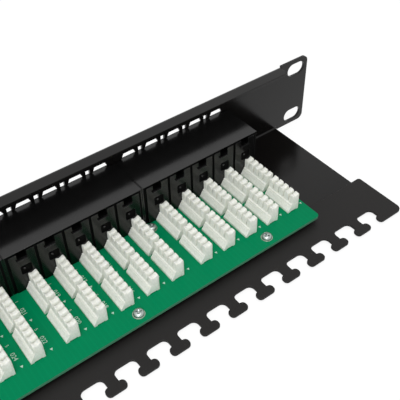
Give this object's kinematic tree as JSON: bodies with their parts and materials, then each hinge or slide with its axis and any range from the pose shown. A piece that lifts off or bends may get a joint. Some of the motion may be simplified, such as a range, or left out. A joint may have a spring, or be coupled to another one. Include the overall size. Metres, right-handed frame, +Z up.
{
  "type": "telephone patch panel",
  "caption": "Rack-mount telephone patch panel: folded black steel plate and tray, stacked jack sockets, green circuit board with white punch-down blocks and a toothed cable tie bar.",
  "frame": {"origin": "centre of the rack slot pattern, on the rear face of the front plate, which seats on the rack rails", "axes": "+X along the panel, +Y from the front plate back towards the cable tie bar, +Z up"},
  "size_m": [0.4826, 0.0954, 0.044],
  "materials": {
    "black_powder_coat": "satin",
    "green_board": "gloss",
    "black_plastic": "satin",
    "white_plastic": "matte",
    "gold_contacts": "polished",
    "nickel_brass": "satin",
    "zinc_steel": "polished"
  },
  "bodies": {
    "root": {"panel_chassis": "black_powder_coat", "cable_tie_bar": "black_powder_coat", "circuit_board": "green_board", "board_standoffs": "nickel_brass", "board_screws": "zinc_steel", "jack_block_1": "black_plastic", "jack_block_2": "black_plastic", "jack_block_3": "black_plastic", "jack_block_4": "black_plastic", "jack_block_5": "black_plastic", "jack_contacts_1": "gold_contacts", "jack_contacts_2": "gold_contacts", "jack_contacts_3": "gold_contacts", "jack_contacts_4": "gold_contacts", "jack_contacts_5": "gold_contacts", "idc_pair_01": "white_plastic", "idc_pair_02": "white_plastic", "idc_pair_03": "white_plastic", "idc_pair_04": "white_plastic", "idc_pair_05": "white_plastic", "idc_pair_06": "white_plastic", "idc_pair_07": "white_plastic", "idc_pair_08": "white_plastic", "idc_pair_09": "white_plastic", "idc_pair_10": "white_plastic", "idc_pair_11": "white_plastic", "idc_pair_12": "white_plastic", "idc_pair_13": "white_plastic", "idc_pair_14": "white_plastic", "idc_pair_15": "white_plastic", "idc_pair_16": "white_plastic", "idc_pair_17": "white_plastic", "idc_pair_18": "white_plastic", "idc_pair_19": "white_plastic", "idc_pair_20": "white_plastic", "idc_pair_21": "white_plastic", "idc_pair_22": "white_plastic", "idc_pair_23": "white_plastic", "idc_pair_24": "white_plastic", "idc_pair_25": "white_plastic"}
  },
  "joints": []
}
